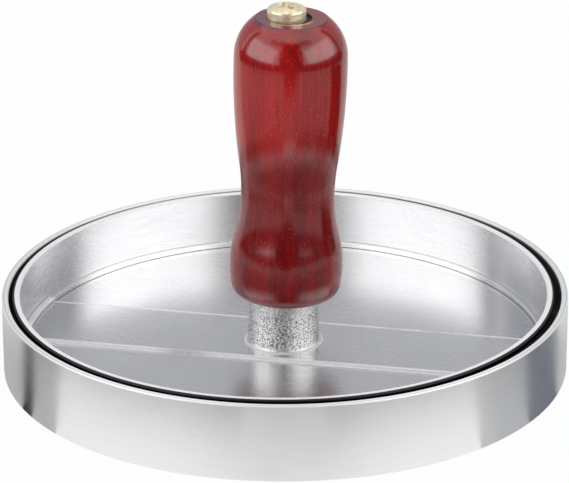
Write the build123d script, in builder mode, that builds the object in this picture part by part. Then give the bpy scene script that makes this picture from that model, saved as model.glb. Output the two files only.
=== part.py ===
from build123d import *
from math import cos, radians, sin, tan
import os

# A burger press: an open ring, a pan-shaped press plate that drops into it, and a turned
# wooden handle held to the plate's boss by one long screw. Millimetres, +Z up, origin at
# the middle of the ring on the surface that the press stands on.

# Outer ring
ring_d = 115.0
ring_wall = 1.35
ring_height = 15.8
ring_edge = 0.3

# Press plate, and how it lies in the ring
plate_gap = 1.0
least_gap = 0.28
shift_angle = 115.0
plate_wall = 1.3
rim_drop = 0.1
rim_edge = 0.3
foot_edge = 0.8
floor_thick = 3.7

# Raised strip across the floor, and step ring at the foot of the wall
strip_width = 19.2
strip_rise = 0.6
strip_angle = -12.0
strip_edge = 0.25
step_width = 1.15
step_rise = 1.1
step_extra = 0.35

# Ridged pressing face
land_width = 4.0
groove_depth = 1.2
ridge_width = 2.4
ridge_pitch = 9.5

# Boss
boss_height = 10.45
boss_top_d = 13.7
boss_foot_d = 14.7
boss_skirt_d = 16.1
skirt_rise = 0.3
flare_rise = 1.0
boss_edge = 0.4

# Handle: diameters where it swells and narrows, and their heights above the boss
handle_length = 58.7
bulge_d = 23.0
bulge_rise = 6.0
bulge_round = 25.0
neck_d = 18.86
neck_rise = 22.0
belly_d = 22.74
belly_rise = 48.2
shoulder_rise = 51.0
handle_top_d = 14.4
foot_round = 2.4
handle_lean = 1.37

# Bore and seat in the handle
bore_offset = 0.45
bore_clearance = 0.15
seat_d = 9.0
seat_depth = 0.5

# Screw
screw_d = 4.0
thread_depth = 6.7
thread_clearance = 0.05
hole_spare = 1.0
head_d = 7.8
head_height = 3.1
head_side = 1.5
head_round = 0.7
head_play = 0.05
seat_play = 0.02
recess_length = 4.4
recess_width = 0.9
recess_depth = 1.6
recess_taper = 8.0


def arc_sum(step, rise):
    """Sum of the radii of two arcs that turn a step sideways into one smooth S over a rise."""
    return (step**2 + rise**2) / (2 * step)


# Sizes that follow from those
ring_r = ring_d / 2
ring_bore_r = ring_r - ring_wall
plate_r = ring_bore_r - plate_gap
pan_r = plate_r - plate_wall
plate_height = ring_height - rim_drop
plate_shift = plate_gap - least_gap
plate_x = plate_shift * cos(radians(shift_angle))
plate_y = plate_shift * sin(radians(shift_angle))
strip_top = floor_thick + strip_rise
boss_top = strip_top + boss_height
step_r = pan_r - step_width
handle_tilt = tan(radians(handle_lean))
foot_lift = boss_top_d / 2 * abs(handle_tilt)
foot_height = boss_top + foot_lift
bore_play = (seat_d - head_d) / 2
bore_d = screw_d + 2 * (bore_play + bore_clearance)
seat_height = handle_length - seat_depth
seat_x = plate_x + seat_height * handle_tilt
head_x = seat_x - bore_play + head_play
screw_tilt = (head_x - plate_x) / (boss_height + foot_lift + seat_height)
head_lift = head_d / 2 * abs(handle_tilt - screw_tilt) + seat_play
screw_length = seat_height + head_lift + foot_lift + thread_depth
dome_rise = head_height - head_side
dome_r = ((head_d / 2) ** 2 + dome_rise**2) / (2 * dome_rise)
bulge_to_neck = arc_sum(bulge_d / 2 - neck_d / 2, neck_rise - bulge_rise)
neck_to_belly = arc_sum(belly_d / 2 - neck_d / 2, belly_rise - neck_rise)
neck_round = bulge_to_neck - bulge_round
belly_round = neck_to_belly - neck_round
bulge_centre = Vector(bulge_d / 2 - bulge_round, bulge_rise)
neck_centre = Vector(neck_d / 2 + neck_round, neck_rise)
belly_centre = Vector(belly_d / 2 - belly_round, belly_rise)
foot_climb = bulge_rise - foot_round
foot_corner = Vector(bulge_centre.X + (bulge_round**2 - bulge_rise**2) ** 0.5, 0)
foot_flat = foot_corner - Vector(foot_round, 0)
foot_side = Vector(bulge_centre.X + (bulge_round**2 - foot_climb**2) ** 0.5, foot_round)
waist_point = bulge_centre + (neck_centre - bulge_centre).normalized() * bulge_round
chest_point = belly_centre + (neck_centre - belly_centre).normalized() * belly_round
shoulder_climb = shoulder_rise - belly_rise
shoulder_point = Vector(belly_centre.X + (belly_round**2 - shoulder_climb**2) ** 0.5, shoulder_rise)
ridge_count = 2 * int((plate_r - land_width) / ridge_pitch) + 1

# The handle leans until its foot bears on one side of the boss; the screw leans a little less
handle_plane = Plane(
    origin=(plate_x + bore_offset, plate_y, foot_height),
    x_dir=(1, 0, -handle_tilt),
    z_dir=(handle_tilt, 0, 1),
)
head_plane = Plane(
    origin=(head_x, plate_y, foot_height + seat_height + head_lift),
    x_dir=(1, 0, -screw_tilt),
    z_dir=(screw_tilt, 0, 1),
)
plate_plane = Plane(origin=(plate_x, plate_y, 0))
strip_plane = plate_plane.rotated((0, 0, strip_angle))

os.makedirs("parts", exist_ok=True)

# Open ring: one wall, turned round the axis, with its edges broken
with BuildPart() as outer_ring:
    with BuildSketch():
        Circle(ring_r)
        Circle(ring_bore_r, mode=Mode.SUBTRACT)
    extrude(amount=ring_height)
    chamfer(outer_ring.edges().filter_by(GeomType.CIRCLE), length=ring_edge)
outer_ring.part.label = "outer_ring"
export_step(outer_ring.part, "parts/outer_ring.step")

# Press plate: a pan with a flat floor, a boss and a ridged face underneath
with BuildPart() as press_plate:
    with BuildSketch(plate_plane):
        Circle(plate_r)
    extrude(amount=plate_height)
    chamfer(press_plate.faces().sort_by(Axis.Z)[0].edges(), length=foot_edge)
    with BuildSketch(plate_plane.offset(floor_thick + step_rise)):
        Circle(pan_r)
    extrude(amount=plate_height, mode=Mode.SUBTRACT)
    with BuildSketch(plate_plane.offset(floor_thick)):
        Circle(step_r)
    extrude(amount=plate_height, mode=Mode.SUBTRACT)
    chamfer(press_plate.faces().sort_by(Axis.Z)[-1].edges(), length=rim_edge)

    # Strip across the floor, up to the wall, with a wider and higher step at its two ends
    with BuildSketch(strip_plane.offset(floor_thick)):
        Circle(pan_r + plate_wall / 2)
        Rectangle(2 * plate_r, strip_width, mode=Mode.INTERSECT)
    extrude(amount=strip_rise)
    straight_edges = press_plate.edges().filter_by(GeomType.LINE)
    chamfer(straight_edges.filter_by_position(Axis.Z, strip_top, plate_height), length=strip_edge)
    with BuildSketch(strip_plane.offset(floor_thick)):
        Circle(pan_r + plate_wall / 2)
        Circle(step_r - step_extra, mode=Mode.SUBTRACT)
        Rectangle(2 * plate_r, strip_width, mode=Mode.INTERSECT)
    extrude(amount=step_rise + step_extra)

    # Boss: a tapered stub on a low turned skirt, with a flare between them
    with BuildSketch(Plane(origin=(plate_x, plate_y, 0), x_dir=(1, 0, 0), z_dir=(0, -1, 0))):
        with BuildLine():
            Polyline(
                (0, floor_thick),
                (boss_skirt_d / 2, floor_thick),
                (boss_skirt_d / 2, strip_top + skirt_rise),
                (boss_foot_d / 2, strip_top + flare_rise),
                (boss_top_d / 2, boss_top),
                (0, boss_top),
                close=True,
            )
        make_face()
    revolve(axis=Axis((plate_x, plate_y, 0), (0, 0, 1)))
    boss_rim = press_plate.edges().filter_by(GeomType.CIRCLE).sort_by_distance((plate_x, plate_y, boss_top))
    chamfer(boss_rim[0], length=boss_edge)

    # Tapped hole, in line with the screw
    with BuildSketch(head_plane.offset(-screw_length - hole_spare)):
        Circle(screw_d / 2 + thread_clearance)
    extrude(amount=screw_length, mode=Mode.SUBTRACT)

    # Pressing face: channels between straight ridges, inside a flat land
    with BuildSketch(strip_plane):
        Circle(plate_r - land_width)
        with GridLocations(0, ridge_pitch, 1, ridge_count):
            Rectangle(2 * plate_r, ridge_width, mode=Mode.SUBTRACT)
    extrude(amount=groove_depth, mode=Mode.SUBTRACT)
press_plate.part.label = "press_plate"
export_step(press_plate.part, "parts/press_plate.step")

# Handle: turned to one flowing outline, bored through, with a shallow seat for the screw's head
with BuildPart() as handle:
    handle_side = Plane(handle_plane.origin, x_dir=handle_plane.x_dir, z_dir=-handle_plane.y_dir)
    with BuildSketch(handle_side):
        with BuildLine():
            Polyline(
                (handle_top_d / 2, handle_length),
                (0, handle_length),
                (0, 0),
                foot_flat,
            )
            Bezier(foot_flat, foot_corner, foot_side)
            RadiusArc(foot_side, waist_point, -bulge_round)
            RadiusArc(waist_point, chest_point, neck_round)
            RadiusArc(chest_point, shoulder_point, -belly_round)
            TangentArc(
                shoulder_point,
                (handle_top_d / 2, handle_length),
                tangent=(-shoulder_climb, shoulder_point.X - belly_centre.X),
            )
        make_face()
    revolve(axis=Axis(handle_plane.origin, handle_plane.z_dir))
    with BuildSketch(handle_plane):
        with Locations((-bore_offset, 0)):
            Circle(bore_d / 2)
    extrude(amount=handle_length, both=True, mode=Mode.SUBTRACT)
    with BuildSketch(handle_plane.offset(seat_height)):
        with Locations((-bore_offset, 0)):
            Circle(seat_d / 2)
    extrude(amount=handle_length, mode=Mode.SUBTRACT)
handle.part.label = "handle"
export_step(handle.part, "parts/handle.step")

# Screw: pan head with a cross recess, and one long shank down to the boss
with BuildPart() as handle_screw:
    with BuildSketch(Plane(head_plane.origin, x_dir=head_plane.x_dir, z_dir=-head_plane.y_dir)) as outline:
        with BuildLine():
            Polyline(
                (0, head_height),
                (0, -screw_length),
                (screw_d / 2, -screw_length),
                (screw_d / 2, 0),
                (head_d / 2, 0),
                (head_d / 2, head_side),
            )
            RadiusArc((head_d / 2, head_side), (0, head_height), -dome_r)
        make_face()
        head_corner = outline.vertices().sort_by_distance((head_d / 2, head_side, 0))[0]
        fillet(head_corner, radius=head_round)
    revolve(axis=Axis(head_plane.origin, head_plane.z_dir))
    with BuildSketch(head_plane.offset(head_height)):
        Rectangle(recess_length, recess_width)
        Rectangle(recess_width, recess_length)
    extrude(amount=-recess_depth, taper=recess_taper, mode=Mode.SUBTRACT)
handle_screw.part.label = "handle_screw"
export_step(handle_screw.part, "parts/handle_screw.step")
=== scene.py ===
from math import asin, atan2, cos, degrees, pi, radians, sin, sqrt, tan

import bmesh
import bpy
from bpy.props import FloatProperty, FloatVectorProperty, IntProperty, PointerProperty
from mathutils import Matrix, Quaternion, Vector


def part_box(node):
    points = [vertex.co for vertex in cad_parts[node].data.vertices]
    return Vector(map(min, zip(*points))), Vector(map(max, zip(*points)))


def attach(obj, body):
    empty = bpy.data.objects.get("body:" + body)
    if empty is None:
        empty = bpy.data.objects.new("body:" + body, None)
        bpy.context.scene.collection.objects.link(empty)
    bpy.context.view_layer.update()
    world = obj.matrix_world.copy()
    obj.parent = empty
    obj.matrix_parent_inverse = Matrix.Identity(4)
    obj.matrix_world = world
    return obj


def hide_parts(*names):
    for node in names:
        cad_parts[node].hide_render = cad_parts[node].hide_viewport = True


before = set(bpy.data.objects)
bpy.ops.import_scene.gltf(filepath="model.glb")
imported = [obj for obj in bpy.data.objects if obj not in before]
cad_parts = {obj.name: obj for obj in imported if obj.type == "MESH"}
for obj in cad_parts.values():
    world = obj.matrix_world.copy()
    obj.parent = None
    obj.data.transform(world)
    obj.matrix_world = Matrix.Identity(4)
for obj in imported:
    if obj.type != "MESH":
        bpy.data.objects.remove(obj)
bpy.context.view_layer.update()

bl_info = {
    "name": "Burger press",
    "version": (1, 0, 0),
    "blender": (4, 5, 0),
    "location": "3D View > Sidebar > Burger press",
    "description": "Models and finishes an aluminium burger press with a turned wooden handle",
    "category": "Add Mesh",
}

MM = 0.001
RING_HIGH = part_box("outer_ring")[1]
PLATE_LOW, PLATE_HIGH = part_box("press_plate")
PLATE_X, PLATE_Y, _ = (PLATE_LOW + PLATE_HIGH) / 2

TOUCH = 0.01 * MM             # places closer than this are the same
MERGE = 0.001 * MM            # corners closer than this become one
LEVEL = 0.9                   # share of Z in the normal of a face that counts as level
UPWARD = 0.5                  # share of Z in the normal of a face that counts as looking up
SMOOTH_ANGLE = radians(35)    # edges sharper than this stay sharp
HANDLE_FACES = 128            # faces round the handle
SCREW_FACES = 96              # faces round the screw and round the hole for it
BOSS_ROWS = 48                # rows of faces up the boss's side
HOLLOW_ROWS = 10              # rows of faces up the flare at its foot
CROWN_ROWS = 8                # rows of faces over the dome of the screw's head
FOOT_ROWS = 8                 # rows of faces round the handle's foot
ARC_ROWS = 16                 # rows of faces along an arc of the handle's outline
BELLY_ROWS = 24               # rows of faces along the belly, its longest arc
SKIN_GRAIN = 0.45 * MM        # size of the lumps in the boss's casting skin
SKIN_MIDDLE = 0.6             # lumps over this share stand proud, and the others are sunk
WALL_BITE = 0.3 * MM          # how far the strip's ends reach into the wall
HOLE_SPARE = MM               # how far a cutting piece stands out past what it cuts
HEAD_FOOT_ROUND = 0.15 * MM   # rounding under the edge of the screw's head
CROWN_SHARE = 0.86            # share of the head's dome that is left inside its rounding
RECESS_TAPER = 0.55           # size of the cross at its floor, as a share of its mouth

SOFT_BOX_TURN = radians(112)  # azimuth of the soft boxes, to the left and to the right of +Y
SOFT_BOX_AIM = 30 * MM        # height on the axis that they look at
CAMERA_SHIFT = -0.04 * MM     # how far to the side the camera stands
FLOOR_DEPTH = 0.1 * MM        # how far the white floor lies under the press
FLOOR_GLOW = 0.95             # share of the floor that the camera sees as plain white
PATCH_START = 57 * MM         # how far from the axis a patch of the table starts
PATCH_REACH = 44 * MM         # how far it reaches out from there
DISC_FACES = 96               # corners of a disc
CARD_FACES = 180              # faces of a whole turn of a curved card


def grey(tone):
    """A colour with the same red, green and blue."""
    return tone, tone, tone


WHITE = grey(1.0)

# Curved cards: name, radius and heights in metres, azimuths in degrees from +Y towards +X, colour
CARDS = (
    ("back_middle", 0.60, (0.02, 0.62), (-16, 16), (0.50, 0.51, 0.54)),
    ("back_sides", 0.61, (0.02, 0.62), (-58, 58), (0.42, 0.44, 0.48)),
    ("front_card", 0.62, (0.02, 0.90), (153, 204), grey(0.01)),
    ("low_card", 0.66, (0.0, 0.08), (60, 300), grey(0.05)),
    ("high_card", 0.64, (0.66, 0.96), (120, 240), grey(0.36)),
    ("left_stand", 0.58, (0.0, 0.62), (-76, -66), (0.04, 0.04, 0.05)),
    ("right_stand", 0.58, (0.0, 0.62), (60, 70), (0.04, 0.04, 0.05)),
)

# Cards on the table: name, kind, shape, depth in millimetres, colour. The shape is a disc's
# radius or a sheet's four corners, in metres, or a patch's two azimuths, in degrees.
TABLE = (
    ("dark_table", "disc", 1.2, 0.08, grey(0.02)),
    ("pale_table", "disc", 0.26, 0.075, (0.45, 0.45, 0.44)),
    ("grey_table", "disc", 0.165, 0.07, grey(0.38)),
    ("dim_table", "disc", 0.106, 0.065, grey(0.04)),
    ("front_wedge", "sheet", ((-0.03, -0.165), (0.03, -0.165), (-0.10, -0.32), (0.10, -0.32)),
     0.062, grey(0.02)),
    ("dark_wedge", "sheet", ((0.08, 0.0), (0.07, 0.05), (0.28, -0.03), (0.19, 0.11)), 0.06, grey(0.02)),
    ("bright_table", "disc", 0.089, 0.05, (1.0, 1.0, 0.99)),
    ("back_table", "sheet", ((-0.10, 0.03), (0.10, 0.03), (-1.5, 1.2), (1.5, 1.2)), 0.065, grey(0.72)),
    ("front_patch", "patch", (172, 188), 0.04, grey(0.98)),
    ("left_side", "patch", (231, 264), 0.045, (0.50, 0.50, 0.49)),
    ("right_side", "patch", (95, 139), 0.045, grey(0.56)),
    ("left_patch", "patch", (240, 244.5), 0.04, grey(0.02)),
    ("right_patch", "patch", (108, 135), 0.04, (0.48, 0.49, 0.51)),
    ("right_core", "patch", (110, 124), 0.03, (0.16, 0.18, 0.22)),
)


def length(name, description, default):
    """A property for a length, in metres."""
    return FloatProperty(name=name, description=description, default=default, unit="LENGTH", precision=5)


def turn(name, description, default):
    """A property for an angle, given in degrees and held in radians."""
    return FloatProperty(name=name, description=description, default=radians(default), subtype="ANGLE")


def colour(name, description, default):
    """A property for a colour, as linear red, green and blue."""
    return FloatVectorProperty(name=name, description=description, default=default, subtype="COLOR",
                               min=0.0, max=1.0)


def amount(name, description, default):
    """A property for a plain number."""
    return FloatProperty(name=name, description=description, default=default, precision=3)


class RingSizes(bpy.types.PropertyGroup):
    """Sizes of the open ring."""

    radius: length("Radius", "Outside radius of the ring", RING_HIGH.x)
    height: length("Height", "Height of the ring's wall", RING_HIGH.z)
    wall: length("Wall", "Thickness of the ring's wall", 1.35 * MM)
    edge: length("Edge", "Rounding of the ring's four edges", 0.32 * MM)
    steps: IntProperty(name="Steps", description="Faces round a large turned piece", default=320)


class PlateSizes(bpy.types.PropertyGroup):
    """Sizes of the pan-shaped press plate, its strip, its boss and its ridged face."""

    radius: length("Radius", "Outside radius of the plate", (PLATE_HIGH.x - PLATE_LOW.x) / 2)
    height: length("Height", "Height of the plate's wall", PLATE_HIGH.z)
    wall: length("Wall", "Thickness of the plate's wall", 1.6 * MM)
    edge: length("Edge", "Rounding of the plate's rim on the inside", 0.3 * MM)
    outer_edge: length("Outer edge", "Rounding of the plate's rim on the outside", 0.55 * MM)
    foot_edge: length("Foot edge", "Rounding of the plate's lower edge", 0.8 * MM)
    floor: length("Floor", "Thickness of the plate's floor", 3.7 * MM)
    step_width: length("Step width", "Width of the step at the foot of the wall", 0.9 * MM)
    step_rise: length("Step rise", "Height of that step over the floor", 1.1 * MM)
    step_extra: length("Step extra", "How much the step grows where the strip meets it", 0.35 * MM)
    step_edge: length("Step edge", "Rounding of the step's edge", 0.22 * MM)
    strip_width: length("Strip width", "Width of the raised strip across the floor", 19.8 * MM)
    strip_rise: length("Strip rise", "Height of the strip over the floor", 0.6 * MM)
    strip_angle: turn("Strip angle", "Turn of the strip seen from above", -12.0)
    strip_edge: length("Strip edge", "Rounding of the strip's long edges", 0.3 * MM)
    land: length("Land", "Width of the flat land round the pressing face", 4.0 * MM)
    groove: length("Groove", "Depth of the channels between the ridges", 1.2 * MM)
    ridge_width: length("Ridge width", "Width of a ridge of the pressing face", 2.4 * MM)
    ridge_pitch: length("Ridge pitch", "Distance from ridge to ridge", 9.5 * MM)
    boss_height: length("Boss height", "Height of the boss over the strip", 10.45 * MM)
    boss_top: length("Boss top", "Radius of the boss under the handle", 6.85 * MM)
    boss_foot: length("Boss foot", "Radius of the boss near its foot", 7.35 * MM)
    boss_skirt: length("Boss skirt", "Radius of the turned skirt round the boss", 8.05 * MM)
    skirt_rise: length("Skirt rise", "Height of the skirt's side over the strip", 0.1 * MM)
    flare_rise: length("Flare rise", "Height of the hollow flare over the strip", 0.55 * MM)
    boss_edge: length("Boss edge", "Rounding of the boss's upper edge", 0.4 * MM)
    grain: length("Grain", "Depth of the boss's rough casting skin", 0.20 * MM)


# Heights that several pieces share, from the plate's sizes as they are set above
DEFAULTS = {name: value.keywords["default"] for name, value in PlateSizes.__annotations__.items()}
STRIP_TOP = DEFAULTS["floor"] + DEFAULTS["strip_rise"]
BOSS_TOP = STRIP_TOP + DEFAULTS["boss_height"]


class HandleSizes(bpy.types.PropertyGroup):
    """Sizes of the turned handle, with heights along its own axis."""

    length: length("Length", "Length of the handle", 58.7 * MM)
    lean: turn("Lean", "Lean of the handle to the right", 1.37)
    offset: length("Offset", "Distance of the handle's axis from the boss's", 0.45 * MM)
    bulge: length("Bulge", "Radius of the lower swelling", 11.5 * MM)
    bulge_rise: length("Bulge rise", "Height of the lower swelling", 6.0 * MM)
    bulge_round: length("Bulge round", "Radius of the lower swelling's outline", 25.0 * MM)
    neck: length("Neck", "Radius at the narrowest place", 9.43 * MM)
    neck_rise: length("Neck rise", "Height of the narrowest place", 22.0 * MM)
    belly: length("Belly", "Radius of the upper swelling", 11.37 * MM)
    belly_rise: length("Belly rise", "Height of the upper swelling", 48.2 * MM)
    shoulder_rise: length("Shoulder rise", "Height where the shoulder turns in", 51.0 * MM)
    top: length("Top", "Radius of the flat top", 7.2 * MM)
    foot_round: length("Foot round", "Size of the rounded foot", 2.4 * MM)
    seat: length("Seat", "Radius of the seat for the screw's head", 4.5 * MM)
    seat_depth: length("Seat depth", "Depth of that seat", 0.5 * MM)
    bore: length("Bore", "Radius of the bore", 2.75 * MM)


class ScrewSizes(bpy.types.PropertyGroup):
    """Sizes of the long screw."""

    radius: length("Radius", "Radius of the shank", 2.0 * MM)
    reach: length("Reach", "How far the shank goes into the boss", 6.7 * MM)
    head: length("Head", "Radius of the head", 3.9 * MM)
    head_height: length("Head height", "Height of the head", 3.1 * MM)
    head_side: length("Head side", "Height of the head's straight side", 2.45 * MM)
    head_round: length("Head round", "Rounding between the side and the dome", 0.6 * MM)
    head_play: length("Head play", "Gap between the head and the seat's side", 0.05 * MM)
    recess: length("Recess", "Length of the cross recess", 5.4 * MM)
    recess_width: length("Recess width", "Width of an arm of the cross", 1.5 * MM)
    recess_depth: length("Recess depth", "Depth of the cross recess", 1.6 * MM)
    recess_turn: turn("Recess turn", "Turn of the cross seen from above", 35.0)


class Finishes(bpy.types.PropertyGroup):
    """Colours of the finishes."""

    turned: colour("Turned aluminium", "Turned aluminium of the ring", (0.88, 0.88, 0.88))
    brushed: colour("Brushed aluminium", "Brushed aluminium of the pan", (0.79, 0.79, 0.80))
    cast: colour("Cast aluminium", "Rough casting of the boss", (0.84, 0.84, 0.84))
    stain: colour("Stain", "Red stain of the wood", (0.40, 0.0025, 0.003))
    stain_dark: colour("Dark stain", "Red stain in the darker grain", (0.19, 0.0005, 0.001))
    # colour of the pale yellow crescent on the flat top in front of the screw's seat
    seat_crescent: colour("Bare wood", "Bare wood at the seat's lip", (0.62, 0.36, 0.13))
    brass: colour("Brass", "Plating of the screw", (1.0, 0.92, 0.66))


class StageSizes(bpy.types.PropertyGroup):
    """The camera, the floor and the light."""

    lens: FloatProperty(name="Lens", description="Focal length of the camera, in millimetres",
                        default=226.98)
    aim: length("Aim", "Height that the camera looks at", 26.1 * MM)
    distance: length("Distance", "Distance of the camera", 726.07 * MM)
    elevation: turn("Elevation", "How far the camera stands above the horizon", 22.09)
    roll: turn("Roll", "Roll of the camera", -0.22)
    floor: length("Floor", "Radius of the floor", 2.0)
    light: amount("Light", "Radiance of each soft box, where white is 1", 1.1)
    fill: amount("Fill", "Strength of the even light from all round", 0.8)
    box_distance: length("Box distance", "Distance of each soft box", 0.75)
    box_width: length("Box width", "Width of each soft box", 0.95)
    box_height: length("Box height", "Height of each soft box", 0.46)
    box_rise: turn("Box rise", "Elevation of each soft box", 22.0)


class PressSettings(bpy.types.PropertyGroup):
    """All the settings of the burger press."""

    ring: PointerProperty(type=RingSizes)
    plate: PointerProperty(type=PlateSizes)
    handle: PointerProperty(type=HandleSizes)
    screw: PointerProperty(type=ScrewSizes)
    finish: PointerProperty(type=Finishes)
    stage: PointerProperty(type=StageSizes)


class Value:
    """A shader socket that takes part in Python expressions."""

    def __init__(self, material, socket):
        self.material = material
        self.socket = socket

    def math(self, operation, *others):
        """One Math node on this value and up to two more."""
        sockets = dict(enumerate((self, *others)))
        return self.material.node("ShaderNodeMath", {"operation": operation}, sockets)

    def __add__(self, other):
        return self.math("ADD", other)

    def __radd__(self, other):
        return self.math("ADD", other)

    def __sub__(self, other):
        return self.math("SUBTRACT", other)

    def __rsub__(self, other):
        return self.material.node("ShaderNodeMath", {"operation": "SUBTRACT"}, {0: other, 1: self})

    def __mul__(self, other):
        return self.math("MULTIPLY", other)

    def __rmul__(self, other):
        return self.math("MULTIPLY", other)

    def __truediv__(self, other):
        return self.math("DIVIDE", other)

    def fade(self, low, high):
        """0 up to low, 1 from high, and a smooth rise between them; low may be the larger."""
        sockets = {"Value": self, "From Min": low, "From Max": high}
        return self.material.node("ShaderNodeMapRange", {"interpolation_type": "SMOOTHSTEP"}, sockets)

    def near(self, middle, reach):
        """1 at the middle, and 0 from the reach on."""
        return (self - middle).math("ABSOLUTE").fade(reach, 0.0)


class Material:
    """A material, or the world, built of nodes by a few calls."""

    def __init__(self, name, data=None):
        self.data = data or bpy.data.materials.new(name)
        self.data.use_nodes = True
        self.nodes = self.data.node_tree.nodes
        self.links = self.data.node_tree.links
        self.nodes.clear()

    def node(self, kind, settings=None, sockets=None, out=0):
        """A node with its settings and then its sockets; gives one output as a Value."""
        made = self.nodes.new(kind)
        for name, value in (settings or {}).items():
            setattr(made, name, value)
        for name, value in (sockets or {}).items():
            socket = made.inputs[name]
            if isinstance(value, Value):
                self.links.new(value.socket, socket)
            else:
                socket.default_value = value
        return Value(self, made.outputs[out])

    def place(self, origin=(0, 0, 0), lean=0.0, spin=0.0):
        """Object coordinates measured from an origin, along a leaning or turned axis."""
        coordinates = self.node("ShaderNodeTexCoord", out="Object")
        moved = self.node("ShaderNodeMapping", {"vector_type": "TEXTURE"},
                          {"Vector": coordinates, "Location": origin, "Rotation": (0, lean, spin)})
        return [self.node("ShaderNodeSeparateXYZ", None, {0: moved}, out=axis) for axis in range(3)]

    def vector(self, x, y, z):
        """A vector from three values."""
        return self.node("ShaderNodeCombineXYZ", None, {0: x, 1: y, 2: z})

    def noise(self, vector, scale=1.0, detail=2.0, roughness=0.5):
        """Smooth noise from 0 to 1."""
        sockets = {"Vector": vector, "Scale": scale, "Detail": detail, "Roughness": roughness}
        return self.node("ShaderNodeTexNoise", None, sockets)

    def mix(self, share, first, second):
        """A mix of two colours."""
        first, second = (side if isinstance(side, Value) else (*side, 1.0) for side in (first, second))
        return self.node("ShaderNodeMix", {"data_type": "RGBA"}, {0: share, 6: first, 7: second}, out=2)

    def bump(self, height, distance, strength):
        """A bumped normal from a height of 0 to 1 over a distance in metres."""
        sockets = {"Height": height, "Distance": distance, "Strength": strength}
        return self.node("ShaderNodeBump", None, sockets)

    def finish(self, shader, output="ShaderNodeOutputMaterial"):
        """Sends a shader to the surface and gives the material or the world."""
        self.links.new(shader.socket, self.nodes.new(output).inputs["Surface"])
        return self.data


def radius_of(x, y):
    """Distance of a point from the axis, as shader values."""
    return (x * x + y * y).math("SQRT")


def turned_aluminium(settings):
    """Bright aluminium with fine lines round the ring, a painted highlight on its top rim, and painted
    shade at its outer edge and on its inner face.
    """
    m = Material("turned_aluminium")
    x, y, z = m.place()
    radius = radius_of(x, y)
    around = m.vector(x / radius * 6.0, y / radius * 6.0, z * 5200.0)
    lines = m.noise(around, 1.0, 3.0, 0.6)
    cloud = m.noise(m.vector(x, y, z), 60.0, 3.0)
    ring = settings.ring
    # painted highlight: the top of the ring's wall is turned white and made less metallic
    rim = z.fade(ring.height - 0.4 * MM, ring.height - 0.15 * MM)
    # painted shade: a dark line round the rounded outer edge of the rim
    rim_edge_shade = radius.near(ring.radius - 0.4 * MM, 0.09 * MM) * rim
    # painted shadow: the inner face below the rim, in the gap round the plate, is turned near black
    inside = radius.fade(ring.radius - 0.9 * ring.wall, ring.radius - ring.wall)
    inside = inside * z.fade(ring.height, ring.height - MM)
    tone = m.mix(lines * 0.12, tuple(settings.finish.turned), (0.10, 0.10, 0.11))
    # painted highlight on the top rim
    tone = m.mix(rim * 0.9, tone, WHITE)
    # painted shade: the dark line at the outer edge and the shadowed inner face
    tone = m.mix(rim_edge_shade * 0.7 + inside * 0.9, tone, (0.02, 0.02, 0.03))
    shader = m.node("ShaderNodeBsdfPrincipled", None, {
        "Base Color": tone, "Metallic": 1 - rim * 0.5,
        "Roughness": 0.20 + lines * 0.12 + cloud * 0.10 + inside * 0.2 + rim * 0.2,
        "Anisotropic": 0.8, "Anisotropic Rotation": 0.25, "Normal": m.bump(lines, 0.006 * MM, 0.6)})
    return m.finish(shader)


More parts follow.
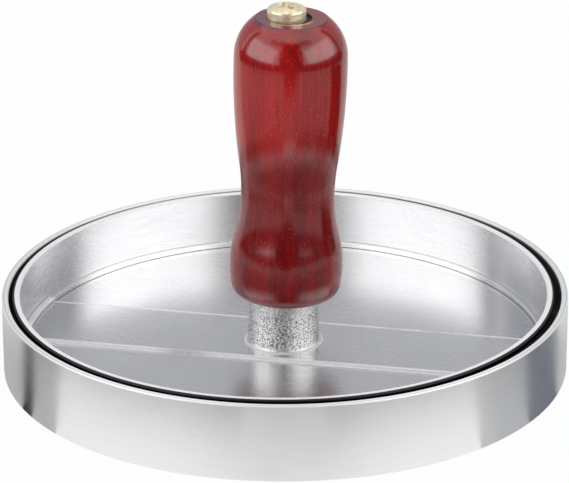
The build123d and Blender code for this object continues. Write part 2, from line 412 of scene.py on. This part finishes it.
def brushed_aluminium(settings):
    """Brushed aluminium of the pan: straight lines on the floor, lines round the wall, painted
    highlights on the rim, the strip's edges and the step, and painted shade in the creases and in the
    gap at the rim.
    """
    plate = settings.plate
    m = Material("brushed_aluminium")
    x, y, z = m.place((PLATE_X, PLATE_Y, 0), spin=plate.strip_angle)
    radius = radius_of(x, y)
    off_axis = y.math("ABSOLUTE")
    half = plate.strip_width / 2
    inner = plate.radius - plate.wall
    step = inner - plate.step_width
    step_top = plate.floor + plate.step_rise
    wall = radius.fade(step, inner)
    straight = m.noise(m.vector(x * 40.0, y * 3200.0, z), 1.0, 3.0, 0.6)
    around = m.noise(m.vector(x / radius * 8.0, y / radius * 8.0, z * 3600.0), 1.0, 3.0, 0.6)
    lines = straight * (1 - wall) + around * wall
    cloud = m.noise(m.vector(x, y, z), 70.0, 4.0)
    # painted highlight: the top of the pan's wall is turned white and made less metallic
    rim = z.fade(plate.height - 0.4 * MM, plate.height - 0.15 * MM)
    outer_start = plate.radius - plate.outer_edge
    # painted shadow: the outer rounding of the rim, in the gap inside the ring, is turned near black
    rim_gap_shadow = radius.fade(outer_start, outer_start + 0.12 * MM)
    rim_gap_shadow = rim_gap_shadow * z.fade(plate.height - 1.1 * MM, plate.height - 0.8 * MM)
    in_strip = off_axis.fade(half + 0.05 * MM, half - 0.05 * MM)
    past_foot = radius - (step - in_strip * plate.step_extra)
    over_floor = z - in_strip * plate.strip_rise
    # painted highlight: the top of the step is turned white, brightest where the strip meets it
    step_highlight = past_foot.fade(-0.1 * MM, 0.0) * radius.fade(inner, inner - 0.1 * MM)
    step_highlight = step_highlight * z.fade(step_top + MM, step_top + 0.5 * MM)
    # painted shade: dark lines in the crease at the foot of the step and where the step meets the wall
    foot_crease_shade = over_floor.fade(plate.floor + 0.25 * MM, plate.floor + 0.05 * MM)
    foot_crease_shade = past_foot.near(0.0, 0.35 * MM) * foot_crease_shade
    wall_crease_shade = radius.near(inner, 0.3 * MM) * z.near(step_top + in_strip * plate.step_extra, 0.3 * MM)
    corners = foot_crease_shade + wall_crease_shade * 0.6
    # painted highlight: bright patchy lines along the strip's long edges
    edges = (off_axis - half).near(-0.2 * MM, 0.7 * MM) * radius.fade(step, step - MM)
    edges = edges * z.fade(step_top, plate.floor + plate.strip_rise) * cloud.fade(0.3, 0.5)
    # all the painted highlights: the rim, the strip's edges and the step, turned white, less metallic
    # and rougher
    painted_highlight = rim + edges * 1.1 + step_highlight * in_strip * 0.8
    tone = m.mix(lines * 0.14, tuple(settings.finish.brushed), (0.12, 0.12, 0.14))
    tone = m.mix(painted_highlight + step_highlight * 0.6, tone, WHITE)
    # painted shade in the creases and painted shadow in the gap at the outer edge, near black
    tone = m.mix(corners * 0.55 + rim_gap_shadow, tone, (0.015, 0.015, 0.02))
    shader = m.node("ShaderNodeBsdfPrincipled", None, {
        "Base Color": tone, "Metallic": 1 - painted_highlight * 0.6,
        "Roughness": 0.16 + lines * 0.10 + cloud * 0.10 + painted_highlight * 0.2,
        "Normal": m.bump(lines, 0.006 * MM, 0.5)})
    return m.finish(shader)


def cast_aluminium(settings):
    """Rough, sparkling skin of the cast boss."""
    plate = settings.plate
    m = Material("cast_aluminium")
    x, y, z = m.place((PLATE_X, PLATE_Y, 0))
    grains = m.noise(m.vector(x, y, z), 3000.0, 2.0, 0.6)
    worn_top = z.fade(BOSS_TOP - 4.5 * MM, BOSS_TOP - 1.0 * MM)
    turned_foot = z.fade(STRIP_TOP + MM, STRIP_TOP + 0.5 * MM)
    # the smooth turned lip, also made mostly non-metallic so it shows as a bright arc: a painted
    # highlight
    lip = radius_of(x, y).fade(plate.boss_skirt - 0.5 * MM, plate.boss_skirt - 0.25 * MM)
    smooth = (worn_top * 0.7 + turned_foot * 0.8 + lip).math("MINIMUM", 1.0)
    tone = m.mix(grains.fade(0.40, 0.53), (0.25, 0.25, 0.25), WHITE)
    shader = m.node("ShaderNodeBsdfPrincipled", None, {
        "Base Color": m.mix(smooth, tone, tuple(settings.finish.cast)),
        "Metallic": 1 - lip * 0.6 - smooth * 0.15,
        "Roughness": 0.26 + grains * 0.2, "Normal": m.bump(grains * (1 - smooth), 0.14 * MM, 0.9)})
    return m.finish(shader)


def stained_wood(settings):
    """Red-stained wood under gloss varnish, with pores along the grain, painted shade over the neck,
    towards the top and inside the seat, and a painted reflection on the flat top.
    """
    sizes = settings.handle
    m = Material("stained_wood")
    x, y, z = m.place((PLATE_X + sizes.offset, PLATE_Y, BOSS_TOP), lean=sizes.lean)
    radius = radius_of(x, y)
    seat = radius_of(x + sizes.offset, y)
    flat = z.fade(sizes.length - 0.35 * MM, sizes.length - 0.1 * MM)
    broad = m.noise(m.vector(x * -260.0, y * 260.0, z * 9.0), 1.0, 3.0, 0.6)
    streaks = m.noise(m.vector(x * 1500.0, y * 1500.0, z * 30.0), 1.0, 3.0, 0.65)
    pores = m.noise(m.vector(x * 2600.0, y * 2600.0, z * 170.0), 1.0, 2.0, 0.6).fade(0.58, 0.70)
    specks = m.noise(m.vector(x * 4800.0, y * 4800.0, z * 2800.0), 1.0, 1.0).fade(0.68, 0.78)
    rings = (radius * 9000.0).math("SINE").fade(0.2, 0.95) * flat
    border = radius.near(sizes.top, 0.28 * MM) * z.fade(sizes.length - 0.6 * MM, sizes.length - 0.2 * MM)
    # a pale yellow crescent on the flat top, on the front side of the seat only
    seat_crescent = seat.near(sizes.seat + 0.5 * MM, 0.6 * MM) * flat * (x * 0.35 - y).fade(3.2 * MM, 4.6 * MM)
    # painted shade: inside the seat and the bore the wood is turned near black and made rough
    hole = seat.fade(sizes.seat + 0.1 * MM, sizes.seat)
    tone = m.mix(broad.fade(0.30, 0.70), tuple(settings.finish.stain_dark), tuple(settings.finish.stain))
    tone = m.mix(streaks.fade(0.48, 0.78) * 0.6, tone, (0.54, 0.007, 0.006))
    # painted shade: darker over the neck and the lower part, and a little darker towards the top
    neck_and_top_shade = z.fade(38 * MM, 29 * MM) * 0.5 + z.fade(47 * MM, 53 * MM) * 0.2
    tone = m.mix(neck_and_top_shade, tone, (0.06, 0.0004, 0.001))
    tone = m.mix(pores * 0.6, tone, (0.08, 0.0005, 0.001))
    tone = m.mix(specks * 0.4, tone, (0.90, 0.26, 0.22))
    # painted reflection: the left part of the flat top is darker and bluer
    tone = m.mix(flat * x.fade(MM, -4 * MM) * 0.7, tone, (0.10, 0.02, 0.06))
    tone = m.mix(rings * 0.5 + border * 0.7, tone, (0.06, 0.002, 0.012))
    tone = m.mix(seat_crescent * 0.9, tone, tuple(settings.finish.seat_crescent))
    tone = m.mix(hole, tone, (0.006, 0.002, 0.002))
    relief = streaks * 0.5 + specks * 0.7 - pores * 0.5 + rings
    shader = m.node("ShaderNodeBsdfPrincipled", None, {
        "Base Color": tone, "Roughness": 0.10 + streaks * 0.12 + hole * 0.6, "IOR": 1.82,
        "Normal": m.bump(relief, 0.012 * MM, 0.5)})
    return m.finish(shader)


def plated_brass(settings):
    """Pale plated screw."""
    m = Material("plated_brass")
    x, y, z = m.place()
    lines = m.noise(m.vector(x * 500.0, y * 500.0, z * 4000.0), 1.0, 2.0)
    stain = m.noise(m.vector(x, y, z), 900.0, 3.0)
    tone = m.mix(stain.fade(0.48, 0.72) * 0.5, tuple(settings.finish.brass), (0.62, 0.44, 0.18))
    shader = m.node("ShaderNodeBsdfPrincipled", None, {
        "Base Color": tone, "Metallic": 0.6, "Roughness": 0.20 + lines * 0.12,
        "Normal": m.bump(lines, 0.01 * MM, 0.4)})
    return m.finish(shader)


def arc(centre, radius, start, end, steps):
    """Points on an arc about a centre, from one angle to another, both ends included."""
    turns = [start + (end - start) * i / steps for i in range(steps + 1)]
    return [(centre[0] + radius * cos(t), centre[1] + radius * sin(t)) for t in turns]


def rounded(corners, steps=5):
    """An outline through corners given as (radius, height, rounding)."""
    points = []
    for i, (r, z, rounding) in enumerate(corners):
        here = Vector((r, z))
        if not rounding or i in (0, len(corners) - 1):
            points.append((r, z))
            continue
        back = (Vector(corners[i - 1][:2]) - here).normalized()
        ahead = (Vector(corners[i + 1][:2]) - here).normalized()
        half = back.angle(ahead) / 2
        centre = here + (back + ahead).normalized() * rounding / sin(half)
        first = here + back * rounding / tan(half) - centre
        last = here + ahead * rounding / tan(half) - centre
        start = atan2(first.y, first.x)
        sweep = (atan2(last.y, last.x) - start + pi) % (2 * pi) - pi
        points += arc(centre, rounding, start, start + sweep, steps)
    return points


def fresh(name):
    """A new object that is one point at the origin, open in edit mode."""
    bpy.ops.object.select_all(action="DESELECT")
    bpy.ops.mesh.primitive_plane_add(size=MM)
    made = bpy.context.object
    made.name = made.data.name = name
    bpy.context.tool_settings.mesh_select_mode = (True, False, False)
    bpy.ops.object.mode_set(mode="EDIT")
    bpy.ops.mesh.select_all(action="SELECT")
    bpy.ops.mesh.merge(type="CENTER")
    return made


def turned(name, outline, steps, origin, lean=0.0):
    """A piece turned from an outline of (radius, height) points, left in object mode."""
    made = fresh(name)
    at = Vector((0, 0, 0))
    for i, (r, z) in enumerate(outline):
        step = Vector((r, 0, z)) - at
        if i:
            bpy.ops.mesh.extrude_vertices_move(TRANSFORM_OT_translate={"value": step})
        else:
            bpy.ops.transform.translate(value=step)
        at = Vector((r, 0, z))
    bpy.ops.mesh.select_all(action="SELECT")
    bpy.ops.mesh.spin(steps=steps, angle=2 * pi, center=(0, 0, 0), axis=(0, 0, 1))
    bpy.ops.mesh.select_all(action="SELECT")
    bpy.ops.mesh.remove_doubles(threshold=MERGE)
    bpy.ops.mesh.normals_make_consistent(inside=False)
    bpy.ops.object.mode_set(mode="OBJECT")
    made.rotation_euler = (0, lean, 0)
    made.location = origin
    bpy.ops.object.transform_apply(location=True, rotation=True, scale=True)
    return made


def activate(made):
    """Makes an object the only selected one, and the active one."""
    bpy.ops.object.select_all(action="DESELECT")
    made.select_set(True)
    bpy.context.view_layer.objects.active = made


def pick(made, test, kind="FACE"):
    """Selects the faces, or the edges, that pass a test, in edit mode."""
    bpy.context.tool_settings.mesh_select_mode = (False, kind == "EDGE", kind == "FACE")
    bpy.ops.mesh.select_all(action="DESELECT")
    mesh = bmesh.from_edit_mesh(made.data)
    for part in mesh.edges if kind == "EDGE" else mesh.faces:
        part.select_set(bool(test(part)))
    mesh.select_flush_mode()
    bmesh.update_edit_mesh(made.data)


def finish_piece(made, body, material, nodes=(), weighted=True):
    """Smooths a piece, gives it its material and puts it on its body."""
    activate(made)
    bpy.ops.object.shade_smooth_by_angle(angle=SMOOTH_ANGLE)
    if weighted:
        made.modifiers.new("Normals", "WEIGHTED_NORMAL").keep_sharp = True
        bpy.ops.object.modifier_apply(modifier="Normals")
    made.data.materials.clear()
    made.data.materials.append(material)
    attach(made, body)
    if nodes:
        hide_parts(*nodes)


def cut(made, tool):
    """Takes one mesh out of another and deletes it."""
    activate(made)
    modifier = made.modifiers.new("Cut", "BOOLEAN")
    modifier.object = tool
    modifier.operation = "DIFFERENCE"
    modifier.solver = "EXACT"
    modifier.use_self = True
    bpy.ops.object.modifier_apply(modifier="Cut")
    bpy.data.objects.remove(tool)


class PRESS_OT_ring(bpy.types.Operator):
    """Turn the open ring."""

    bl_idname = "press.ring"
    bl_label = "Open ring"

    def execute(self, context):
        settings = context.scene.press
        ring = settings.ring
        inner = ring.radius - ring.wall
        outline = rounded([
            (inner, ring.height / 2, 0), (inner, 0, ring.edge), (ring.radius, 0, ring.edge),
            (ring.radius, ring.height, ring.edge), (inner, ring.height, ring.edge),
            (inner, ring.height / 2, 0)])
        made = turned("open_ring", outline, ring.steps, (0, 0, 0))
        finish_piece(made, "ring", turned_aluminium(settings), ["outer_ring"])
        return {"FINISHED"}


class PRESS_OT_plate(bpy.types.Operator):
    """Turn the pan, then raise its strip and sink the channels of its pressing face."""

    bl_idname = "press.plate"
    bl_label = "Press plate"

    def execute(self, context):
        settings = context.scene.press
        plate = settings.plate
        inner = plate.radius - plate.wall
        step = inner - plate.step_width
        land = plate.radius - plate.land
        step_top = plate.floor + plate.step_rise
        strip_top = plate.floor + plate.strip_rise
        outline = rounded([
            (step, plate.floor, 0), (step, step_top, plate.step_edge),
            (inner, step_top, plate.step_edge), (inner, plate.height, plate.edge),
            (plate.radius, plate.height, plate.outer_edge), (plate.radius, 0, plate.foot_edge),
            (land, 0, 0)])
        made = turned("press_pan", outline, settings.ring.steps, (PLATE_X, PLATE_Y, 0))
        bpy.ops.object.mode_set(mode="EDIT")
        middle = Vector((PLATE_X, PLATE_Y))
        for height in (plate.floor, 0):
            pick(made, lambda e: e.is_boundary and abs(e.verts[0].co.z - height) < TOUCH, "EDGE")
            bpy.ops.mesh.edge_face_add()
        along = Vector((cos(plate.strip_angle), sin(plate.strip_angle)))
        across = Vector((-along.y, along.x))
        half = plate.strip_width / 2

        def off_axis(point):
            """Distance of a point from the strip's middle line."""
            return (point.xy - middle).dot(across)

        def slice_at(offset, test):
            """Cuts the faces that pass a test along a line beside the strip's middle line."""
            pick(made, test)
            at = middle + across * offset
            bpy.ops.mesh.bisect(plane_co=(at.x, at.y, 0), plane_no=(across.x, across.y, 0))

        def is_floor(face):
            return abs(face.calc_center_median().z - plate.floor) < TOUCH and face.normal.z > LEVEL

        def is_step(face):
            return face.normal.z > UPWARD and face.calc_center_median().z < step_top + TOUCH

        def is_foot(face):
            return face.normal.z < -LEVEL and (face.calc_center_median().xy - middle).length < land

        def in_channel(face):
            apart = abs(off_axis(face.calc_center_median())) / plate.ridge_pitch
            return abs(apart - round(apart)) * plate.ridge_pitch > plate.ridge_width / 2

        def is_strip_edge(edge):
            return all(abs(vertex.co.z - strip_top) < TOUCH
                       and abs(abs(off_axis(vertex.co)) - half) < TOUCH for vertex in edge.verts)

        for side in (-half, half):
            slice_at(side, is_step)
        pick(made, lambda f: is_floor(f) and abs(off_axis(f.calc_center_median())) < half)
        bpy.ops.mesh.extrude_region_move(TRANSFORM_OT_translate={"value": (0, 0, plate.strip_rise)})
        pick(made, is_strip_edge, "EDGE")
        bpy.ops.mesh.bevel(offset=plate.strip_edge, segments=3, affect="EDGES")
        count = int(land / plate.ridge_pitch)
        for k in range(-count, count + 1):
            for side in (-1, 1):
                slice_at(k * plate.ridge_pitch + side * plate.ridge_width / 2, is_foot)
        pick(made, lambda f: is_foot(f) and in_channel(f))
        bpy.ops.mesh.extrude_region_move(TRANSFORM_OT_translate={"value": (0, 0, plate.groove)})
        bpy.ops.object.mode_set(mode="OBJECT")
        material = brushed_aluminium(settings)
        finish_piece(made, "press", material, ["press_plate"])
        self.strip_ends(settings, step, inner, across, material)
        return {"FINISHED"}

    def strip_ends(self, settings, step, inner, across, material):
        """The wider and higher step where the strip meets the wall, at both ends."""
        plate = settings.plate
        top = plate.floor + plate.step_rise + plate.step_extra
        low = step - plate.step_extra
        outside = inner + WALL_BITE
        outline = rounded([
            (low, plate.floor, 0), (low, top, plate.step_edge), (outside, top, 0),
            (outside, plate.floor, 0), (low, plate.floor, 0)])
        made = turned("strip_ends", outline, settings.ring.steps, (PLATE_X, PLATE_Y, 0))
        bpy.ops.object.mode_set(mode="EDIT")
        for side in (-1, 1):
            at = Vector((PLATE_X, PLATE_Y)) + across * side * plate.strip_width / 2
            bpy.ops.mesh.select_all(action="SELECT")
            bpy.ops.mesh.bisect(plane_co=(at.x, at.y, 0), use_fill=True, clear_outer=True,
                                plane_no=(across.x * side, across.y * side, 0))
        bpy.ops.object.mode_set(mode="OBJECT")
        finish_piece(made, "press", material)


class PRESS_OT_boss(bpy.types.Operator):
    """Turn the boss and its skirt, and roughen the cast skin."""

    bl_idname = "press.boss"
    bl_label = "Boss"

    def execute(self, context):
        settings = context.scene.press
        plate = settings.plate
        skirt = STRIP_TOP + plate.skirt_rise
        flare = STRIP_TOP + plate.flare_rise
        hollow = arc((plate.boss_skirt, flare), 1.0, 1.5 * pi, pi, HOLLOW_ROWS)
        hollow = [(plate.boss_skirt + (r - plate.boss_skirt) * (plate.boss_skirt - plate.boss_foot),
                   flare + (z - flare) * (flare - skirt)) for r, z in hollow]
        side = [(plate.boss_foot + (plate.boss_top - plate.boss_foot) * i / BOSS_ROWS,
                 flare + (BOSS_TOP - plate.boss_edge - flare) * i / BOSS_ROWS)
                for i in range(1, BOSS_ROWS + 1)]
        corner = (plate.boss_top, BOSS_TOP, plate.boss_edge)
        rim = rounded([(*side[-1], 0), corner, (0, BOSS_TOP, 0)])[1:]
        outline = [(0, plate.floor), (plate.boss_skirt, plate.floor), *hollow, *side, *rim]
        made = turned("press_boss", outline, settings.ring.steps, (PLATE_X, PLATE_Y, 0))
        skin = bpy.data.textures.new("casting_skin", "CLOUDS")
        skin.noise_scale = SKIN_GRAIN
        skin.noise_depth = 2
        rough = made.modifiers.new("Skin", "DISPLACE")
        rough.texture = skin
        rough.strength = plate.grain
        rough.mid_level = SKIN_MIDDLE
        bpy.ops.object.modifier_apply(modifier="Skin")
        finish_piece(made, "press", cast_aluminium(settings))
        return {"FINISHED"}


def handle_outline(sizes):
    """The handle's outline, from the edge of its foot to the edge of its flat top."""
    def arc_sum(step, rise):
        """Sum of the radii of two arcs that turn a step sideways into one smooth S."""
        return (step**2 + rise**2) / (2 * step)

    neck_round = arc_sum(sizes.bulge - sizes.neck, sizes.neck_rise - sizes.bulge_rise)
    neck_round -= sizes.bulge_round
    belly_round = arc_sum(sizes.belly - sizes.neck, sizes.belly_rise - sizes.neck_rise) - neck_round
    bulge = Vector((sizes.bulge - sizes.bulge_round, sizes.bulge_rise))
    neck = Vector((sizes.neck + neck_round, sizes.neck_rise))
    belly = Vector((sizes.belly - belly_round, sizes.belly_rise))
    corner = Vector((bulge.x + sqrt(sizes.bulge_round**2 - sizes.bulge_rise**2), 0))
    climb = asin((sizes.foot_round - sizes.bulge_rise) / sizes.bulge_round)
    side = bulge + Vector((cos(climb), sin(climb))) * sizes.bulge_round
    flat = corner - Vector((sizes.foot_round, 0))
    points = []
    for i in range(FOOT_ROWS):
        t = i / FOOT_ROWS
        points.append(flat * (1 - t) ** 2 + corner * 2 * t * (1 - t) + side * t**2)
    waist = atan2(neck.y - bulge.y, neck.x - bulge.x)
    points += arc(bulge, sizes.bulge_round, climb, waist, ARC_ROWS)[:-1]
    chest = atan2(neck.y - belly.y, neck.x - belly.x)
    points += arc(neck, neck_round, waist + pi, chest + pi, ARC_ROWS)[:-1]
    rise = asin((sizes.shoulder_rise - sizes.belly_rise) / belly_round)
    points += arc(belly, belly_round, chest, rise, BELLY_ROWS)[:-1]
    start = belly + Vector((cos(rise), sin(rise))) * belly_round
    end = Vector((sizes.top, sizes.length))
    inward = (belly - start).normalized()
    chord = end - start
    shoulder_round = chord.length_squared / (2 * chord.dot(inward))
    centre = start + inward * shoulder_round
    close = atan2(end.y - centre.y, end.x - centre.x)
    points += arc(centre, shoulder_round, rise, close, ARC_ROWS)
    return [(p[0], p[1]) for p in points]


class PRESS_OT_handle(bpy.types.Operator):
    """Turn the handle, and sink the seat and the bore for the screw."""

    bl_idname = "press.handle"
    bl_label = "Handle"

    def execute(self, context):
        settings = context.scene.press
        sizes = settings.handle
        foot = BOSS_TOP + settings.plate.boss_top * tan(sizes.lean)
        origin = Vector((PLATE_X + sizes.offset, PLATE_Y, foot))
        outline = [(0, 0), *handle_outline(sizes), (0, sizes.length)]
        made = turned("turned_handle", outline, HANDLE_FACES, origin, sizes.lean)
        seat_floor = sizes.length - sizes.seat_depth
        above = sizes.length + HOLE_SPARE
        outline = [(0, -HOLE_SPARE), (sizes.bore, -HOLE_SPARE), (sizes.bore, seat_floor),
                   (sizes.seat, seat_floor), (sizes.seat, above), (0, above)]
        hole = turned("hole", outline, SCREW_FACES, (0, 0, 0))
        hole.location = (-sizes.offset, 0, 0)
        bpy.ops.object.transform_apply(location=True)
        hole.rotation_euler = (0, sizes.lean, 0)
        hole.location = origin
        bpy.ops.object.transform_apply(location=True, rotation=True)
        cut(made, hole)
        material = stained_wood(settings)
        finish_piece(made, "press", material, ["handle"], weighted=False)
        return {"FINISHED"}


class PRESS_OT_screw(bpy.types.Operator):
    """Turn the screw and sink its cross recess."""

    bl_idname = "press.screw"
    bl_label = "Handle screw"

    def execute(self, context):
        settings = context.scene.press
        handle = settings.handle
        screw = settings.screw
        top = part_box("handle_screw")[1].z
        foot = BOSS_TOP + settings.plate.boss_top * tan(handle.lean)
        seat = foot + handle.length - handle.seat_depth
        seat_x = PLATE_X + (handle.length - handle.seat_depth) * tan(handle.lean)
        play = handle.seat - screw.head
        head_x = seat_x - play + screw.head_play
        lean = atan2(head_x - PLATE_X, seat - STRIP_TOP)
        dome = screw.head_height - screw.head_side
        dome_round = (screw.head**2 + dome**2) / (2 * dome)
        sweep = asin(screw.head / dome_round)
        start = pi / 2 - sweep * CROWN_SHARE
        crown = arc((0, screw.head_height - dome_round), dome_round, start, pi / 2, CROWN_ROWS)
        head = rounded([
            (screw.radius, 0, 0), (screw.head, 0, HEAD_FOOT_ROUND),
            (screw.head, screw.head_side, screw.head_round), (*crown[0], 0)])[1:-1]
        end = -(seat - BOSS_TOP) - screw.reach
        outline = [(0, end), (screw.radius, end), (screw.radius, 0), *head, *crown]
        rise = top - (seat + screw.head_height * cos(lean))
        origin = (head_x, PLATE_Y, seat + rise)
        made = turned("long_screw", outline, SCREW_FACES, origin, lean)
        cut(made, self.cross(screw, origin, lean))
        finish_piece(made, "press", plated_brass(settings), ["handle_screw"])
        return {"FINISHED"}

    def cross(self, screw, origin, lean):
        """The tapered cross that the recess is cut with, made of two arms."""
        arms = []
        for turned_by in (0, pi / 2):
            scale = (screw.recess, screw.recess_width, 2 * screw.recess_depth)
            rotation = (0, 0, screw.recess_turn + turned_by)
            bpy.ops.mesh.primitive_cube_add(size=1, rotation=rotation, scale=scale)
            arms.append(bpy.context.object)
            bpy.ops.object.transform_apply(rotation=False)
            bpy.ops.object.mode_set(mode="EDIT")
            pick(arms[-1], lambda f: f.normal.z < -LEVEL)
            bpy.ops.transform.resize(value=(RECESS_TAPER, RECESS_TAPER, 1))
            bpy.ops.object.mode_set(mode="OBJECT")
            bpy.ops.object.transform_apply(rotation=True)
        arms[0].select_set(True)
        bpy.ops.object.join()
        made = arms[1]
        made.location = (0, 0, screw.head_height)
        bpy.ops.object.transform_apply(location=True)
        made.rotation_euler = (0, lean, 0)
        made.location = origin
        bpy.ops.object.transform_apply(location=True, rotation=True)
        return made


class PRESS_OT_stage(bpy.types.Operator):
    """Set up the floor, the light and the camera."""

    bl_idname = "press.stage"
    bl_label = "Stage"

    def execute(self, context):
        stage = context.scene.press.stage
        self.floor(stage)
        self.world(context.scene, stage)
        for name, side in (("left", -1), ("right", 1)):
            self.soft_box(name, stage, SOFT_BOX_TURN * side)
        for name, radius, (low, high), (start, end), tone in CARDS:
            self.card(name, radius, low, high, start, end, tone)
        makers = {"disc": self.disc, "sheet": self.sheet, "patch": self.patch}
        for name, kind, shape, depth, tone in TABLE:
            makers[kind](name, shape, -depth * MM, tone)
        self.camera(context.scene, stage)
        return {"FINISHED"}

    def floor(self, stage):
        """A round white floor that shows as white and keeps the soft shadow."""
        bpy.ops.object.select_all(action="DESELECT")
        bpy.ops.mesh.primitive_circle_add(vertices=DISC_FACES, radius=stage.floor, fill_type="NGON",
                                          location=(0, 0, -FLOOR_DEPTH))
        made = bpy.context.object
        made.name = "floor"
        bpy.ops.object.transform_apply(location=True)
        m = Material("white_floor")
        camera = m.node("ShaderNodeLightPath", out="Is Camera Ray")
        matt = m.node("ShaderNodeBsdfDiffuse", None, {"Color": (*grey(0.86), 1.0)})
        white = m.node("ShaderNodeEmission", None, {"Color": (*WHITE, 1.0)})
        shader = m.node("ShaderNodeMixShader", None, {0: camera * FLOOR_GLOW, 1: matt, 2: white})
        made.data.materials.append(m.finish(shader))

    def world(self, scene, stage):
        """White for the camera and for gloss, and an even fill for the rest."""
        scene.world = bpy.data.worlds.new("studio")
        m = Material("studio", scene.world)
        camera, gloss, through = (m.node("ShaderNodeLightPath", out=f"Is {ray} Ray")
                                  for ray in ("Camera", "Glossy", "Transmission"))
        seen = camera.math("MAXIMUM", gloss.math("MAXIMUM", through))
        color = (*WHITE, 1.0)
        fill = m.node("ShaderNodeBackground", None, {"Color": color, "Strength": stage.fill})
        white = m.node("ShaderNodeBackground", None, {"Color": color, "Strength": 1.0})
        shader = m.node("ShaderNodeMixShader", None, {0: seen, 1: fill, 2: white})
        m.finish(shader, "ShaderNodeOutputWorld")
        scene.view_settings.view_transform = "Standard"

    def soft_box(self, name, stage, azimuth):
        """A large soft box that looks at the handle."""
        rise = stage.box_rise
        away = Vector((sin(azimuth) * cos(rise), cos(azimuth) * cos(rise), sin(rise)))
        place = away * stage.box_distance + Vector((0, 0, SOFT_BOX_AIM))
        bpy.ops.object.light_add(type="AREA", location=place)
        lamp = bpy.context.object
        lamp.name = f"soft_box_{name}"
        lamp.data.shape = "RECTANGLE"
        lamp.data.size = stage.box_width
        lamp.data.size_y = stage.box_height
        lamp.data.energy = stage.light * pi * stage.box_width * stage.box_height
        lamp.rotation_euler = (-away).to_track_quat("-Z", "Y").to_euler()

    def disc(self, name, radius, height, tone):
        """A disc on the table that only gloss sees."""
        bpy.ops.object.select_all(action="DESELECT")
        bpy.ops.mesh.primitive_circle_add(vertices=DISC_FACES, radius=radius, fill_type="NGON",
                                          location=(0, 0, height))
        made = bpy.context.object
        made.name = name
        bpy.ops.object.transform_apply(location=True)
        self.only_gloss(made, tone)

    def patch(self, name, ends, height, tone):
        """A patch of table that the ring's wall mirrors to the camera between two azimuths."""
        corners = []
        for reach in (0, PATCH_REACH):
            for azimuth in map(radians, ends):
                corners.append((PATCH_START * sin(azimuth) - reach * sin(2 * azimuth),
                                PATCH_START * cos(azimuth) - reach * cos(2 * azimuth)))
        self.sheet(name, corners, height, tone)

    def sheet(self, name, corners, height, tone):
        """A four-cornered sheet on the table that only gloss sees."""
        bpy.ops.object.select_all(action="DESELECT")
        bpy.ops.mesh.primitive_plane_add(size=1)
        made = bpy.context.object
        made.name = name
        for vertex, (x, y) in zip(made.data.vertices, corners):
            vertex.co = (x, y, height)
        self.only_gloss(made, tone)

    def only_gloss(self, made, tone):
        """Gives a stage card its tone and hides it from all but gloss."""
        m = Material(made.name)
        shader = m.node("ShaderNodeEmission", None, {"Color": (*tone, 1.0)})
        made.data.materials.append(m.finish(shader))
        made.visible_camera = False
        made.visible_diffuse = False
        made.visible_shadow = False

    def card(self, name, radius, low, high, start, end, tone):
        """A curved card that only gloss sees, between two azimuths from +Y towards +X."""
        bpy.ops.object.select_all(action="DESELECT")
        bpy.ops.mesh.primitive_cylinder_add(vertices=CARD_FACES, radius=radius, depth=high - low,
                                            end_fill_type="NOTHING", location=(0, 0, (low + high) / 2))
        made = bpy.context.object
        made.name = name
        bpy.ops.object.transform_apply(location=True)
        bpy.ops.object.mode_set(mode="EDIT")

        def outside(face):
            centre = face.calc_center_median()
            azimuth = degrees(atan2(centre.x, centre.y))
            return not any(start <= azimuth + full <= end for full in (-360, 0, 360))

        pick(made, outside)
        bpy.ops.mesh.delete(type="FACE")
        bpy.ops.object.mode_set(mode="OBJECT")
        self.only_gloss(made, tone)

    def camera(self, scene, stage):
        """The camera, as the photograph was taken."""
        data = bpy.data.cameras.new("camera")
        data.lens = stage.lens
        camera = bpy.data.objects.new("camera", data)
        scene.collection.objects.link(camera)
        away = Vector((0, -cos(stage.elevation), sin(stage.elevation)))
        camera.location = away * stage.distance + Vector((CAMERA_SHIFT, 0, stage.aim))
        camera.rotation_mode = "QUATERNION"
        camera.rotation_quaternion = Quaternion(away, stage.roll) @ (-away).to_track_quat("-Z", "Y")
        data.clip_start = 0.01
        data.clip_end = 20
        scene.camera = camera


class PRESS_PT_panel(bpy.types.Panel):
    """Lists the pieces of the burger press."""

    bl_idname = "PRESS_PT_panel"
    bl_label = "Burger press"
    bl_space_type = "VIEW_3D"
    bl_region_type = "UI"
    bl_category = "Burger press"

    def draw(self, context):
        for operator in OPERATORS:
            self.layout.operator(operator.bl_idname)


OPERATORS = (PRESS_OT_ring, PRESS_OT_plate, PRESS_OT_boss, PRESS_OT_handle, PRESS_OT_screw,
             PRESS_OT_stage)
CLASSES = (RingSizes, PlateSizes, HandleSizes, ScrewSizes, Finishes, StageSizes, PressSettings,
           *OPERATORS, PRESS_PT_panel)


def register():
    """Registers the classes and the settings."""
    for entry in CLASSES:
        bpy.utils.register_class(entry)
    bpy.types.Scene.press = PointerProperty(type=PressSettings)


def unregister():
    """Removes them again."""
    del bpy.types.Scene.press
    for entry in reversed(CLASSES):
        bpy.utils.unregister_class(entry)


def main():
    """Models all the pieces in order."""
    register()
    bpy.ops.press.ring()
    bpy.ops.press.plate()
    bpy.ops.press.boss()
    bpy.ops.press.handle()
    bpy.ops.press.screw()
    bpy.ops.press.stage()


if __name__ == "__main__":
    main()
